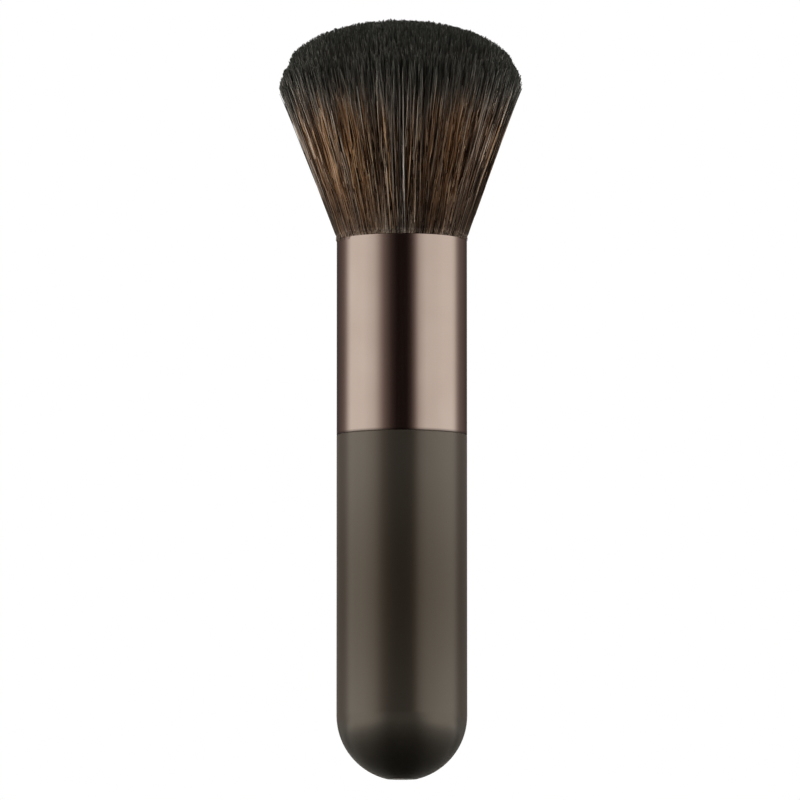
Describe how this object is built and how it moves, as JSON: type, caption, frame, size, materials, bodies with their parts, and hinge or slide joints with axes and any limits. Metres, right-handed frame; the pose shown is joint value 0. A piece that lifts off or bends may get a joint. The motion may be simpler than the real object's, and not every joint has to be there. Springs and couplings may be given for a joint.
{
  "type": "makeup brush",
  "caption": "Short thick face brush: round-ended handle, flush metal ferrule and a dense flared bristle head cut to a dome.",
  "frame": {"origin": "middle of the small flat at the butt of the handle", "axes": "+Z along the brush from the butt to the bristles; X and Y are across it and alike"},
  "size_m": [0.044, 0.0438, 0.1396],
  "materials": {
    "handle_plastic": "satin soft-touch paint",
    "steel": "plain turned",
    "hot_melt": "cured bead",
    "stopper_plastic": "plain moulded",
    "glue": "cured",
    "ferrule_metal": "bronze anodised, polished",
    "epoxy": "cured",
    "band_rubber": "elastic",
    "bristle_fibre": "fine synthetic fibre, dark tips"
  },
  "bodies": {
    "root": {"handle_shell": "handle_plastic", "counterweight": "steel", "weight_adhesive": "hot_melt", "neck_stopper": "stopper_plastic", "neck_adhesive": "glue", "ferrule": "ferrule_metal", "epoxy_plug": "epoxy", "root_band": "band_rubber", "bristle_tuft": "bristle_fibre"}
  },
  "joints": []
}
